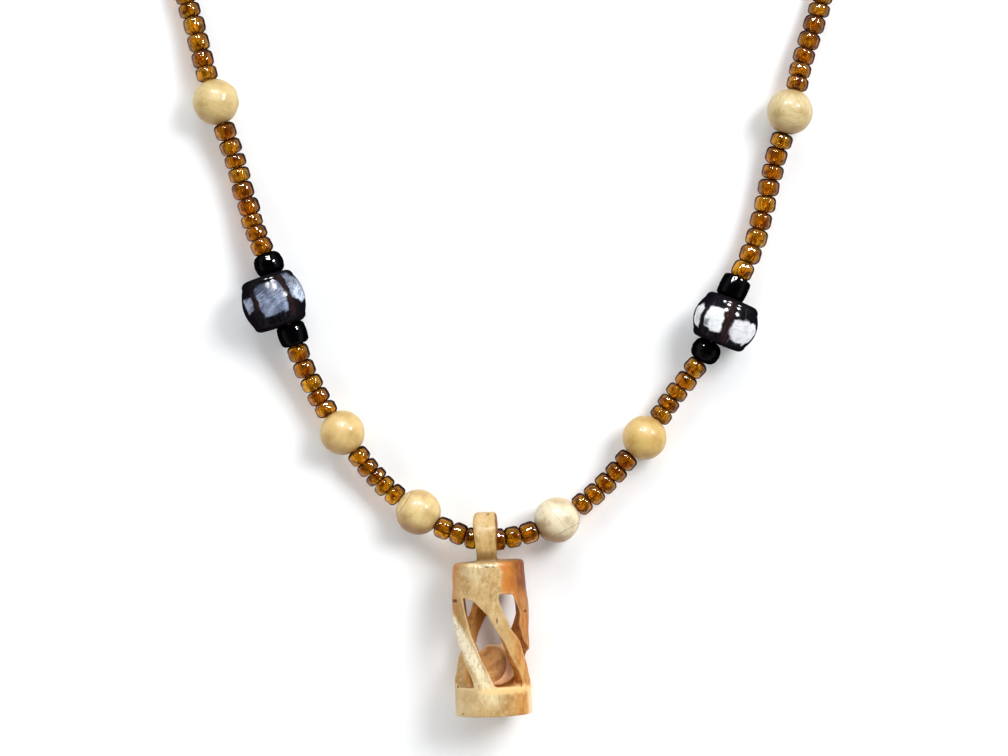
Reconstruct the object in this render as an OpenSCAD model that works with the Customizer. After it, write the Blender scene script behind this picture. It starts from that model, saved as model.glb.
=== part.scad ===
// Bead necklace laid out flat, with a carved cage pendant that holds a loose ball.
// Millimetres. +Z is up from the surface, +Y runs from the pendant to the clasp,
// and the origin is on the surface at the middle of the necklace's footprint.

/* [Pendant] */
// Outer diameter of the cage at its base
cage_d = 13.7; // [13:0.1:15]
// Height of the cage from its base to the top of its collar
cage_h = 27.5; // [26.5:0.1:30]
// Diameter of the cavity that the ball slides in
cavity_d = 9.7; // [9.3:0.1:10]
// Diameter of the loose ball
ball_d = 7.5; // [6.8:0.1:7.6]
// Height of the sill under the carved windows
sill_h = 5.2; // [4.5:0.1:6]
// Width of the bail, along the string
bail_w = 4.4; // [3.6:0.1:5]
// Diameter of the bail's eye
eye_d = 6; // [5.6:0.1:6.2]
// Thickness of the bail's arch
bail_wall = 1.7; // [1.2:0.1:2]
// Lean of the pendant on the surface, anticlockwise from above
lean = 2.3; // [-3:0.1:3]

/* [Beads] */
// Diameter of the seed beads
seed_d = 4; // [3.6:0.1:4.2]
// Diameter of a black spacer bead
black_d = 5.4; // [4.8:0.1:6]
// Length of a black spacer bead
black_l = 3.9; // [3.4:0.1:3.9]
// Length cut off a round bead by its two flat ends, as a share of its diameter
flat_share = 0.05; // [0.02:0.01:0.1]
// Hole through a round or black bead
hole_d = 1.6; // [1.2:0.1:1.8]
// Hole through a banded stone bead
stone_hole_d = 2.2; // [1.6:0.1:2.4]
// Free space left between one bead and the next
bead_gap = 0.35; // [0.3:0.05:0.45]

/* [Thread and clasp] */
// Diameter of the thread
thread_d = 0.7; // [0.5:0.1:0.9]
// Diameter of the barrel clasp
clasp_d = 4.6; // [4:0.1:5]
// Length of the barrel clasp
clasp_l = 12; // [10:0.5:14]

/* [Hidden] */
$fn = 48;

// Pendant
cage_r = cage_d / 2;
cavity_r = cavity_d / 2;
ball_r = ball_d / 2;
cavity_floor = sill_h - 0.3;
cavity_top = cage_h - 5.5;
foot = [-1.75, -115.8, cage_r + 0.07];
ball_side = 0.7;
ball_low = 0.6;
ball_start = cavity_floor + ball_r + 0.25;
eye_r = eye_d / 2;
eye_z = cage_h + eye_r + 1.1;
bail_r = eye_r + bail_wall;
bail_shift = -0.2;

// Outline of the turned cage: share of its height, share of its base radius
CAGE_OUTLINE = [
    [0, 0],
    [0, 0.91],
    [0.008, 0.965],
    [0.03, 1],
    [0.18, 1.003],
    [0.4, 0.985],
    [0.53, 0.99],
    [0.66, 1.01],
    [0.81, 0.973],
    [0.94, 0.938],
    [0.98, 0.925],
    [1, 0.885],
    [1, 0]
];

// Outline of the bail from the front: height above its foot, half width
BAIL_OUTLINE = [
    [-0.6, 0.8],
    [1.2, 0.81],
    [3.6, 0.88],
    [5.6, 0.96],
    [6.8, 1],
    [7.8, 0.95],
    [8.5, 0.86],
    [9.2, 0.7]
];

// The four carved bars, anticlockwise from the front as seen from the collar's end.
// Turn of the bar's middle and its width, in degrees, at the collar, half way and at the sill,
// then the height of the window that follows the bar and the turn that it reaches in under the bar
BARS = [
    [-65, 42, -40, 34, -12, 33, 15.7, 22],
    [-1, 34, 34, 38, 67, 28, 16.7, 2],
    [77, 38, 137, 36, 166, 36, 16.2, 2],
    [188, 34, 217, 34, 244, 34, 16.3, 2]
];
bar_top = 20;
bar_middle = 12.5;
window_in = cavity_r - 0.5;
window_out = cage_r + 2.5;

// Where a window is cut: share of its height, share of its full width
WINDOW_SHAPE = [
    [0, 0.9],
    [0.03, 1],
    [0.12, 1],
    [0.22, 1],
    [0.32, 1],
    [0.42, 1],
    [0.52, 1],
    [0.62, 1],
    [0.72, 1],
    [0.82, 1],
    [0.91, 0.98],
    [0.97, 0.88],
    [1, 0.7]
];

// Hollows carved in the ball: turn from the front, rise, radius of the tool, distance of its centre
BALL_HOLLOWS = [
    [-25, 0, 6, 6.8],
    [100, 14, 5, 7.6],
    [170, -6, 5.6, 7.9],
    [-130, 10, 4.6, 7.4],
    [150, 66, 4.6, 7.5],
    [-160, -64, 4.6, 7.5]
];

// Route of the string, by hand: x, y, height of its middle.
// It starts in the clasp, runs down the left side, through the bail and up the right side
ROUTE = [
    [0, 113.8, 2.4],
    [-19.5, 112.3, 2.05],
    [-36, 107.6, 2.05],
    [-48, 100.6, 2.05],
    [-56.6, 92.4, 2.05],
    [-62.6, 83, 2.05],
    [-66, 73, 2.05],
    [-67.2, 62.4, 2.05],
    [-66.8, 53, 2.05],
    [-65.3, 42.8, 2.05],
    [-62.8, 32.4, 2.05],
    [-59.8, 21.8, 2.05],
    [-56.8, 11.2, 2.2],
    [-54.6, 3.4, 3],
    [-51.9, -5.8, 4.7],
    [-48.9, -14.9, 3.1],
    [-46.4, -23.5, 2.8],
    [-44.3, -30.3, 3.9],
    [-42.2, -35, 4.8],
    [-40.1, -41.3, 5.5],
    [-38, -47.6, 5],
    [-35.7, -54.4, 3.6],
    [-32.9, -59.6, 3.4],
    [-29.2, -65.4, 4.6],
    [-24.3, -71.8, 3.3],
    [-20.7, -75.6, 3.5],
    [-15.5, -79.8, 4],
    [-9.4, -83.1, 5.6],
    [-3.3, -84.6, 6.6],
    [3.2, -83.7, 5.4],
    [9.7, -81.4, 4.1],
    [15.2, -77.2, 3.6],
    [19.7, -73, 3.4],
    [25.4, -66.3, 4.45],
    [29.5, -60.4, 3.4],
    [33, -55.5, 3.7],
    [36.4, -50.7, 4.9],
    [38.8, -45, 5.6],
    [41.2, -39.3, 4.9],
    [44.2, -33.8, 3.8],
    [46.7, -26, 2.8],
    [48.5, -17.6, 3],
    [51.5, -7.6, 4.6],
    [54, 2.4, 3],
    [56.9, 11.2, 2.2],
    [60.1, 21.8, 2.05],
    [63, 32.4, 2.05],
    [65.4, 42.8, 2.05],
    [66.8, 53, 2.05],
    [67.2, 62.4, 2.05],
    [66, 73, 2.05],
    [62.6, 83, 2.05],
    [56.6, 92.4, 2.05],
    [48, 100.6, 2.05],
    [36, 107.6, 2.05],
    [19.5, 112.3, 2.05]
];
clasp_row = 0;

// Round ivory beads: row of the route, diameter
IVORY = [
    [14, 8.4],
    [23, 8.1],
    [26, 8.2],
    [30, 8.3],
    [33, 8],
    [42, 8.3]
];

// Banded stone beads: row of the route, diameter, length, how far they hang outside the string
BANDED = [
    [19, 11.5, 9.4, 1.35],
    [37, 11.8, 8.4, 1]
];
dimple_d = 6.4;
dimple_depth = 0.4;

// Black spacer beads: row of the route, radius of the rounded edge
BLACK = [
    [18, 1.3],
    [20, 0.8],
    [36, 1.5],
    [38, 0.5]
];

// Runs of seed beads: row and half length of the piece before, then of the piece after, and rings
round_half = 0.5 - flat_share / 2;
RUNS = [
    [0, clasp_l / 2, 14, IVORY[0][1] * round_half, 16],
    [14, IVORY[0][1] * round_half, 18, black_l / 2, 5],
    [20, black_l / 2, 23, IVORY[1][1] * round_half, 4],
    [23, IVORY[1][1] * round_half, 26, IVORY[2][1] * round_half, 4],
    [26, IVORY[2][1] * round_half, 30, IVORY[3][1] * round_half, 6],
    [30, IVORY[3][1] * round_half, 33, IVORY[4][1] * round_half, 4],
    [33, IVORY[4][1] * round_half, 36, black_l / 2, 4],
    [38, black_l / 2, 42, IVORY[5][1] * round_half, 5],
    [42, IVORY[5][1] * round_half, 56, clasp_l / 2, 16]
];
sleeve_sides = 10;
thread_sides = 8;
sleeve_r = seed_d / 2 / cos(180 / sleeve_sides);
sleeve_bore_r = 0.8;
thread_r = thread_d / 2;

// The route as a smooth closed curve, and its length from the clasp
rows = len(ROUTE);
steps = 8;
function route_row(i) = ROUTE[(i + rows) % rows];
function curve(a, b, c, d, t) =
    0.5 * (2 * b + t * (c - a) + t * t * (2 * a - 5 * b + 4 * c - d) + t * t * t * (3 * b - 3 * c + d - a));
function route_at(i, t) = curve(route_row(i - 1), route_row(i), route_row(i + 1), route_row(i + 2), t);
PATH = [for (k = [0:rows * steps]) route_at(floor(k / steps), (k % steps) / steps)];
function lengths(k = 0, total = 0) =
    k >= len(PATH) - 1 ? [total] : concat([total], lengths(k + 1, total + norm(PATH[k + 1] - PATH[k])));
LENGTHS = lengths();
TRACKS = [for (axis = [0:2]) [for (k = [0:len(PATH) - 1]) [LENGTHS[k], PATH[k][axis]]]];
loop_l = LENGTHS[len(LENGTHS) - 1];
function station(row) = LENGTHS[row * steps];
function wrap(s) = s < 0 ? s + loop_l : s > loop_l ? s - loop_l : s;
function point(s) = [for (axis = [0:2]) lookup(wrap(s), TRACKS[axis])];
function heading(s, reach) = let (d = point(s + reach) - point(s - reach)) d / norm(d);

// A ring of points round the string, with its flats up and down
function ring(s, r, sides) =
    let (ahead = heading(s, 1))
    let (side = cross([0, 0, 1], ahead) / norm(cross([0, 0, 1], ahead)))
    let (up = cross(ahead, side))
    [for (k = [0:sides - 1]) let (a = (k + 0.5) * 360 / sides) point(s) + r * (side * sin(a) + up * cos(a))];
function band(a, b, sides) = [for (k = [0:sides - 1]) each [
    [a + k, a + (k + 1) % sides, b + k],
    [a + (k + 1) % sides, b + (k + 1) % sides, b + k]
]];

// A solid rod along the string through the given stations
module rod_along(stations, r, sides) {
    last = len(stations) - 1;
    rings = [for (s = stations) each ring(s, r, sides)];
    walls = [for (j = [0:last - 1]) each band(j * sides, (j + 1) * sides, sides)];
    start_cap = [[for (k = [0:sides - 1]) sides - 1 - k]];
    end_cap = [[for (k = [0:sides - 1]) last * sides + k]];
    polyhedron(rings, concat(walls, start_cap, end_cap));
}

// A hollow sleeve along the string, open at both ends
module sleeve_along(stations, r_out, r_in, sides) {
    last = len(stations) - 1;
    inner = len(stations) * sides;
    rings = concat(
        [for (s = stations) each ring(s, r_out, sides)],
        [for (s = stations) each ring(s, r_in, sides)]
    );
    outer_wall = [for (j = [0:last - 1]) each band(j * sides, (j + 1) * sides, sides)];
    inner_wall = [for (j = [0:last - 1]) each band(inner + (j + 1) * sides, inner + j * sides, sides)];
    start_face = band(inner, 0, sides);
    end_face = band(last * sides, inner + last * sides, sides);
    polyhedron(rings, concat(outer_wall, inner_wall, start_face, end_face));
}

// Middle of a bead of length l that is threaded at a row of the route
function seat(row, l) = let (s = station(row)) (point(s - l / 2) + point(s + l / 2)) / 2;

// Sets a bead of length l at a row of the route, with its own +Z along the string and its +X down
module strung(row, l) {
    ahead = heading(station(row), l / 2);
    translate(seat(row, l))
        rotate([0, acos(ahead[2]), atan2(ahead[1], ahead[0])])
            children();
}

// Turns a piece built upright, with its front to -Y, into the pendant lying on its back
module lying() {
    translate(foot) rotate([-90, 0, lean]) children();
}

function run_stations(run) =
    let (a = station(run[0]) + run[1] + bead_gap)
    let (b = station(run[2]) - run[3] - bead_gap)
    [for (k = [0:run[4] - 1]) a + (b - a) * k / (run[4] - 1)];

// Stations at both ends of a banded bead and of the black beads beside it
function group_stations(i) =
    let (row = BANDED[i][0])
    let (halves = [black_l / 2, BANDED[i][2] / 2, black_l / 2])
    [for (k = [0:2]) each [station(row - 1 + k) - halves[k], station(row - 1 + k) + halves[k]]];

// Turn of a bar's middle, and its width, at a height: straight between its three sections
function bar_value(bar, column, z) =
    z > bar_middle
        ? bar[column] + (bar[column + 2] - bar[column]) * (bar_top - z) / (bar_top - bar_middle)
        : bar[column + 2] + (bar[column + 4] - bar[column + 2]) * (bar_middle - z) / (bar_middle - sill_h);

// Six corners of a window's cut at one height: it widens inward, under the bar before it
function window_corners(i, share, width_share) =
    let (bar = BARS[i])
    let (next = BARS[(i + 1) % len(BARS)])
    let (z = sill_h + bar[6] * share)
    let (zb = min(z, bar_top))
    let (from = bar_value(bar, 0, zb) + bar_value(bar, 1, zb) / 2)
    let (to = bar_value(next, 0, zb) - bar_value(next, 1, zb) / 2 + (i == len(BARS) - 1 ? 360 : 0))
    let (middle = (from + to) / 2)
    let (half = (to - from) / 2 * width_share)
    [
        for (corner = [
            [-half - bar[7] * share, window_in],
            [half, window_in],
            [half, cage_r],
            [half, window_out],
            [-half, window_out],
            [-half, cage_r]
        ])
            let (a = middle + corner[0])
            [corner[1] * sin(a), -corner[1] * cos(a), z]
    ];

module window_cut(i) {
    last = (len(WINDOW_SHAPE) - 1) * 6;
    corners = [for (shape = WINDOW_SHAPE) each window_corners(i, shape[0], shape[1])];
    walls = [for (k = [0:6:last - 6]) each band(k, k + 6, 6)];
    sill = [[2, 1, 0], [5, 2, 0], [3, 2, 5], [4, 3, 5]];
    lintel = [for (face = sill) [last + face[2], last + face[1], last + face[0]]];
    polyhedron(corners, concat(walls, sill, lintel));
}

module bail() {
    front = concat(
        [for (p = BAIL_OUTLINE) [p[1] * bail_w / 2, p[0]]],
        [for (k = [len(BAIL_OUTLINE) - 1:-1:0]) [-BAIL_OUTLINE[k][1] * bail_w / 2, BAIL_OUTLINE[k][0]]]
    );
    difference() {
        intersection() {
            translate([bail_shift, bail_r + 1, cage_h])
                rotate([90, 0, 0])
                    linear_extrude(2 * bail_r + 2)
                        polygon(front);
            union() {
                translate([-bail_w, 0, eye_z]) rotate([0, 90, 0]) cylinder(r = bail_r, h = 2 * bail_w);
                translate([-bail_w, -bail_r, cage_h - 0.6]) cube([2 * bail_w, 2 * bail_r, eye_z - cage_h + 0.6]);
            }
        }
        translate([-bail_w, 0, eye_z]) rotate([0, 90, 0]) cylinder(r = eye_r, h = 2 * bail_w);
    }
}

module cage() {
    color("burlywood")
        lying()
            union() {
                difference() {
                    rotate_extrude()
                        polygon([for (p = CAGE_OUTLINE) [p[1] * cage_r, p[0] * cage_h]]);
                    translate([0, 0, cavity_floor]) cylinder(r = cavity_r, h = cavity_top - cavity_floor);
                    for (i = [0:len(BARS) - 1]) window_cut(i);
                }
                bail();
            }
}

module cage_ball() {
    color("peru")
        lying()
            translate([ball_side, ball_low, ball_start])
                difference() {
                    sphere(r = ball_r);
                    for (hollow = BALL_HOLLOWS)
                        rotate([0, 0, hollow[0]])
                            rotate([-hollow[1], 0, 0])
                                translate([0, -hollow[3], 0])
                                    sphere(r = hollow[2]);
                }
}

module ivory_bead(i) {
    d = IVORY[i - 1][1];
    half = d * round_half;
    color("lemonchiffon")
        strung(IVORY[i - 1][0], 2 * half)
            difference() {
                intersection() {
                    sphere(d = d);
                    translate([0, 0, -half]) cylinder(d = d + 2, h = 2 * half);
                }
                translate([0, 0, -d]) cylinder(d = hole_d, h = 2 * d);
            }
}

// Half outline of a bead: rounded edges of radius e between its ends and a wall that swells
// from r_end to r_mid, as points from the bottom of the axis to its top
function bead_outline(l, r_end, r_mid, e) = concat(
    [[0, -l / 2]],
    [for (a = [0:15:75]) [r_end - e + e * sin(a), -l / 2 + e - e * cos(a)]],
    [for (k = [-4:4]) let (t = k / 4) [r_end + (r_mid - r_end) * (1 - t * t), t * (l / 2 - e)]],
    [for (a = [75:-15:0]) [r_end - e + e * sin(a), l / 2 - e + e * cos(a)]],
    [[0, l / 2]]
);

// A banded bead rests on the surface, so its middle lies higher than its hole
module banded_bead(i) {
    row = BANDED[i - 1][0];
    d = BANDED[i - 1][1];
    l = BANDED[i - 1][2];
    lift = d / 2 - seat(row, l)[2];
    color("dimgray")
        strung(row, l)
            difference() {
                translate([-lift, -BANDED[i - 1][3], 0])
                    rotate_extrude()
                        polygon(bead_outline(l, d / 2 - 0.9, d / 2, 1.2));
                translate([0, 0, -l]) cylinder(d = stone_hole_d, h = 2 * l);
                for (end = [-1, 1])
                    translate([0, 0, end * l / 2 - dimple_depth])
                        cylinder(d = dimple_d, h = 2 * dimple_depth);
            }
}

module black_bead(i) {
    color("black")
        strung(BLACK[i - 1][0], black_l)
            difference() {
                rotate_extrude() polygon(bead_outline(black_l, black_d / 2 - 0.1, black_d / 2, BLACK[i - 1][1]));
                translate([0, 0, -black_l]) cylinder(d = hole_d, h = 2 * black_l);
            }
}

module seed_run(i) {
    color("sienna")
        sleeve_along(run_stations(RUNS[i - 1]), sleeve_r, sleeve_bore_r, sleeve_sides);
}

// The thread's two ends meet inside the clasp
module thread() {
    before = [for (k = [0:1]) each run_stations(RUNS[k])];
    left = [for (k = [2:6]) each run_stations(RUNS[k])];
    after = [for (k = [7:8]) each run_stations(RUNS[k])];
    color("tan")
        rod_along(
            concat([thread_d], before, group_stations(0), left, group_stations(1), after, [loop_l - thread_d]),
            thread_r,
            thread_sides
        );
}

module clasp() {
    color("silver")
        strung(clasp_row, clasp_l)
            difference() {
                rotate_extrude() polygon(bead_outline(clasp_l, clasp_d / 2 - 0.3, clasp_d / 2, 0.6));
                translate([0, 0, -clasp_l]) cylinder(d = hole_d, h = 2 * clasp_l);
            }
}

cage();
cage_ball();
thread();
clasp();
for (i = [1:len(IVORY)])
    ivory_bead(i);
for (i = [1:len(BANDED)])
    banded_bead(i);
for (i = [1:len(BLACK)])
    black_bead(i);
for (i = [1:len(RUNS)])
    seed_run(i);
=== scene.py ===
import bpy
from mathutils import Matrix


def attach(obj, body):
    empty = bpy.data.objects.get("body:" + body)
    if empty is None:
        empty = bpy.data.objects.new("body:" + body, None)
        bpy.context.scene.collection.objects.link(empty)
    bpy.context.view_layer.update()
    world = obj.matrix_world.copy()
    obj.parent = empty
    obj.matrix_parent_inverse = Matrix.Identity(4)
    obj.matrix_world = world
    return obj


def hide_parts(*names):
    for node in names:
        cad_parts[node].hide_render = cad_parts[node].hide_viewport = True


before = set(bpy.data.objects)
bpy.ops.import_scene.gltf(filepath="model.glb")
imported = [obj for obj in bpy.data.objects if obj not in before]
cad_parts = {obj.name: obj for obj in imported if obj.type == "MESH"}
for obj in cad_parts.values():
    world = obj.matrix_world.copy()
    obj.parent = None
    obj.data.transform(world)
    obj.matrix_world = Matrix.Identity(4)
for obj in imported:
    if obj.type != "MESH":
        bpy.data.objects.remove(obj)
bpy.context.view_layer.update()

import math
import bpy
import numpy as np
from mathutils import Matrix, Vector

# The camera looks straight down on the necklace, from 0.76 m above the beads
lens = bpy.data.cameras.new("camera")
lens.sensor_width = 36
lens.lens = 150.8
lens.clip_end = 20
camera = bpy.data.objects.new("camera", lens)
camera.location = (0, -0.0555, 0.764)
bpy.context.scene.collection.objects.link(camera)
bpy.context.scene.camera = camera


# Thread. A cord of two plies is the string of the necklace. It goes through every bead and through
# the pendant's bail, and its two ends meet inside the clasp.
# The route follows the string's middle, in millimetres: from the clasp down the left side and back up
ROUTE = np.array([
    [0, 113.8, 2.4], [-19.5, 112.3, 2.05], [-36, 107.6, 2.05], [-48, 100.6, 2.05],
    [-56.6, 92.4, 2.05], [-62.6, 83, 2.05], [-66, 73, 2.05], [-67.2, 62.4, 2.05],
    [-66.8, 53, 2.05], [-65.3, 42.8, 2.05], [-62.8, 32.4, 2.05], [-59.8, 21.8, 2.05],
    [-56.8, 11.2, 2.2], [-54.6, 3.4, 3], [-51.9, -5.8, 4.7], [-48.9, -14.9, 3.1],
    [-46.4, -23.5, 2.8], [-44.3, -30.3, 3.9], [-42.2, -35, 4.8], [-40.1, -41.3, 5.5],
    [-38, -47.6, 5], [-35.7, -54.4, 3.6], [-32.9, -59.6, 3.4], [-29.2, -65.4, 4.6],
    [-24.3, -71.8, 3.3], [-20.7, -75.6, 3.5], [-15.5, -79.8, 4], [-9.4, -83.1, 5.6],
    [-3.3, -84.6, 6.6], [3.2, -83.7, 5.4], [9.7, -81.4, 4.1], [15.2, -77.2, 3.6],
    [19.7, -73, 3.4], [25.4, -66.3, 4.45], [29.5, -60.4, 3.4], [33, -55.5, 3.7],
    [36.4, -50.7, 4.9], [38.8, -45, 5.6], [41.2, -39.3, 4.9], [44.2, -33.8, 3.8],
    [46.7, -26, 2.8], [48.5, -17.6, 3], [51.5, -7.6, 4.6], [54, 2.4, 3],
    [56.9, 11.2, 2.2], [60.1, 21.8, 2.05], [63, 32.4, 2.05], [65.4, 42.8, 2.05],
    [66.8, 53, 2.05], [67.2, 62.4, 2.05], [66, 73, 2.05], [62.6, 83, 2.05],
    [56.6, 92.4, 2.05], [48, 100.6, 2.05], [36, 107.6, 2.05], [19.5, 112.3, 2.05],
]) / 1000
STEPS = 8
before, here, after, beyond = (np.roll(ROUTE, shift, axis=0)[:, None] for shift in (1, 0, -1, -2))
t = (np.arange(STEPS) / STEPS)[None, :, None]
string = 0.5 * (
    2 * here
    + t * (after - before)
    + t**2 * (2 * before - 5 * here + 4 * after - beyond)
    + t**3 * (3 * here - 3 * after + beyond - before)
)
string = string.reshape(-1, 3)
string = np.vstack([string, string[:1]])
reached = np.concatenate([[0], np.cumsum(np.linalg.norm(np.diff(string, axis=0), axis=1))])
loop_length = reached[-1]


def station(row):
    return reached[row * STEPS]


def string_at(s):
    return Vector([np.interp(s % loop_length, reached, string[:, axis]) for axis in range(3)])


def string_heading(s, reach):
    return (string_at(s + reach) - string_at(s - reach)).normalized()


def seat(row, length):
    """A bead's place: its own +Z runs along the string, its +X points down, its middle is on its chord."""
    s = station(row)
    ahead = string_heading(s, length / 2)
    turned = Matrix.Rotation(math.atan2(ahead.y, ahead.x), 4, "Z")
    turned = turned @ Matrix.Rotation(math.acos(ahead.z), 4, "Y")
    middle = (string_at(s - length / 2) + string_at(s + length / 2)) / 2
    return Matrix.Translation(middle) @ turned


def linear(colour):
    """A colour as an eye reads it, from 0 to 255, made the linear one that a shader takes."""
    shares = [c / 255 for c in colour]
    return (*(c / 12.92 if c < 0.0405 else ((c + 0.055) / 1.055) ** 2.4 for c in shares), 1)


class Wire:
    """A socket's output: sums on it add Math nodes, or Vector Math nodes where it is a vector or colour."""

    def __init__(self, net, socket):
        self.net = net
        self.socket = socket

    def apply(self, operation, *values):
        if any(getattr(v, "flat", False) for v in values):
            return self.net.node("ShaderNodeVectorMath", {"operation": operation}, values)
        return self.net.node("ShaderNodeMath", {"operation": operation}, values)

    @property
    def flat(self):
        return self.socket.type in ("VECTOR", "RGBA")

    def __add__(self, other):
        return self.apply("ADD", self, other)

    def __radd__(self, other):
        return self.apply("ADD", other, self)

    def __sub__(self, other):
        return self.apply("SUBTRACT", self, other)

    def __rsub__(self, other):
        return self.apply("SUBTRACT", other, self)

    def __mul__(self, other):
        return self.apply("MULTIPLY", self, other)

    def __rmul__(self, other):
        return self.apply("MULTIPLY", other, self)

    def __truediv__(self, other):
        return self.apply("DIVIDE", self, other)

    def __abs__(self):
        return self.apply("ABSOLUTE", self)

    def __or__(self, other):
        return self.apply("MAXIMUM", self, other)

    def rise(self, start, end):
        """Rises softly from 0 to 1 while the value goes from start to end, whichever of them is larger."""
        return self.net.node("MapRange", {"interpolation_type": "SMOOTHSTEP"}, [self, start, end])


class Net:
    """A tree of nodes. Settings come first, then values or wires go into the sockets."""

    kinds = "ShaderNode"

    def node(self, kind, settings=None, sockets=(), output=0):
        made = self.tree.nodes.new(kind if "Node" in kind else self.kinds + kind)
        for name, value in (settings or {}).items():
            if name == "stops":
                while len(made.color_ramp.elements) < len(value):
                    made.color_ramp.elements.new(1)
                for element, (position, colour) in zip(made.color_ramp.elements, value):
                    element.position = position
                    element.color = colour
            else:
                setattr(made, name, value)
        named = sockets.items() if isinstance(sockets, dict) else enumerate(sockets)
        for name, value in named:
            socket = made.inputs[name]
            if isinstance(value, Wire):
                self.tree.links.new(value.socket, socket)
            elif socket.type == "VECTOR" and isinstance(value, (int, float)):
                socket.default_value = (value, value, value)
            else:
                socket.default_value = value
        return Wire(self, made.outputs[output])


class Finish(Net):
    """A surface's look. Its coordinates are in millimetres from the piece's own place."""

    def __init__(self, name, place=(0, 0, 0), turn=(0, 0, 0), **shader):
        self.material = bpy.data.materials.new(name)
        self.material.use_nodes = True
        self.tree = self.material.node_tree
        self.shader = self.tree.nodes["Principled BSDF"]
        for socket, value in shader.items():
            self.shader.inputs[socket.replace("_", " ")].default_value = value
        world = self.node("TexCoord", output="Object")
        self.at = self.node("Mapping", {"vector_type": "TEXTURE"}, {
            "Vector": world, "Location": place, "Rotation": turn, "Scale": (0.001,) * 3,
        })
        self.x, self.y, self.z = (self.node("SeparateXYZ", {}, [self.at], k) for k in range(3))

    def mix(self, mask, a, b):
        """Colour a where the mask is 0 and colour b where it is 1. Plain colours are from 0 to 255."""
        a, b = (linear(colour) if isinstance(colour, tuple) else colour for colour in (a, b))
        return self.node("Mix", {"data_type": "RGBA"}, {0: mask, 6: a, 7: b}, 2)

    def noise(self, scale, detail=2.0, rough=0.5, at=None):
        return self.node("TexNoise", {}, {
            "Vector": at or self.at, "Scale": scale, "Detail": detail, "Roughness": rough,
        })

    def dots(self, scale, inner, outer):
        """The mask of small scattered dots that fade from the inner to the outer size."""
        return self.node("TexVoronoi", {}, {"Vector": self.at, "Scale": scale}).rise(outer, inner)

    def stored(self, name):
        return self.node("Attribute", {"attribute_name": name}, output="Fac")

    def along(self, way, at=None):
        """How far a point lies along a direction."""
        return self.node("VectorMath", {"operation": "DOT_PRODUCT"}, [at or self.at, way], 1)

    def glancing(self):
        """0 where the surface faces the eye, and 1 at its outline."""
        return self.node("LayerWeight", {}, {"Blend": 0.5}, "Facing")

    def spot(self, x, y, size, blur, across=None, along=None):
        """A spot's mask: 1 in it, 0 away from it. Its place and size are across and along the piece."""
        dx = ((self.x if across is None else across) - x) / size[0]
        dy = ((self.y if along is None else along) - y) / size[1]
        return (dx * dx + dy * dy).rise(blur * blur, 1)

    def patch(self, u, v, corners, blur=0.26):
        """The mask of a shape with straight sides, whose corners are given in order and bulge outward."""
        area = sum(a[0] * b[1] - b[0] * a[1] for a, b in zip(corners, corners[1:] + corners[:1]))
        off = None
        for a, b in zip(corners, corners[1:] + corners[:1]):
            across, along = (b[1] - a[1], a[0] - b[0]) if area > 0 else (a[1] - b[1], b[0] - a[0])
            length = math.hypot(across, along)
            side = (u * (across / length) + v * (along / length)) - (a[0] * across + a[1] * along) / length
            off = side if off is None else off | side
        return off.rise(blur, -blur)

    def paint(self, mask, hue):
        """Lays a colour over those already there, where the mask is 1."""
        self.colour = self.mix(mask, self.colour, hue)

    def paint_shade_over(self, mask, hue):
        """Puts painted shade, a dark matt shader, over the shader where the mask is 1."""
        dark = self.node("BsdfDiffuse", {}, {"Color": linear(hue)})
        both = self.node("MixShader", {}, [mask, Wire(self, self.shader.outputs[0]), dark])
        self.tree.links.new(both.socket, self.tree.nodes["Material Output"].inputs[0])

    def wear(self, rough, height, depth):
        """Joins the finished colour, roughness and relief, whose depth is in metres, to the shader."""
        self.tree.links.new(self.colour.socket, self.shader.inputs["Base Color"])
        self.tree.links.new(rough.socket, self.shader.inputs["Roughness"])
        bump = self.node("Bump", {}, {"Strength": 1.0, "Distance": depth, "Height": height})
        self.tree.links.new(bump.socket, self.shader.inputs["Normal"])


class Growth(Net):
    """A tree of Geometry Nodes that turns a seed object into a piece."""

    kinds = "GeometryNode"

    def __init__(self, name, **sizes):
        self.sizes = sizes
        self.tree = bpy.data.node_groups.new(name, "GeometryNodeTree")
        face = self.tree.interface
        face.new_socket("Geometry", in_out="INPUT", socket_type="NodeSocketGeometry")
        face.new_socket("Geometry", in_out="OUTPUT", socket_type="NodeSocketGeometry")
        for size, value in sizes.items():
            kind = "NodeSocketInt" if isinstance(value, int) else "NodeSocketFloat"
            face.new_socket(size, in_out="INPUT", socket_type=kind)
        self.start = self.tree.nodes.new("NodeGroupInput")
        self.end = self.tree.nodes.new("NodeGroupOutput")

    def given(self, name):
        return Wire(self, self.start.outputs[name])

    def grow(self, seed, piece, material):
        """Ends the tree, runs it on the seed object and leaves a plain mesh object in its place."""
        solid = self.node("RealizeInstances", {}, [piece])
        solid = self.node("SetShadeSmooth", {}, {"Geometry": solid, "Shade Smooth": True})
        solid = self.node("SetMaterial", {}, {"Geometry": solid, "Material": material})
        self.tree.links.new(solid.socket, self.end.inputs[0])
        modifier = seed.modifiers.new("growth", "NODES")
        modifier.node_group = self.tree
        for item in self.tree.interface.items_tree:
            if item.in_out == "INPUT" and item.name in self.sizes:
                modifier[item.identifier] = self.sizes[item.name]
        scene = bpy.context.evaluated_depsgraph_get()
        mesh = bpy.data.meshes.new_from_object(seed.evaluated_get(scene))
        name = seed.name
        bpy.data.objects.remove(seed)
        grown = bpy.data.objects.new(name, mesh)
        bpy.context.scene.collection.objects.link(grown)
        return grown


def made_of(name, points, edges=(), faces=()):
    mesh = bpy.data.meshes.new(name)
    mesh.from_pydata([tuple(p) for p in points], list(edges), [tuple(int(k) for k in face) for face in faces])
    mesh.update()
    piece = bpy.data.objects.new(name, mesh)
    bpy.context.scene.collection.objects.link(piece)
    return piece


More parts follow.
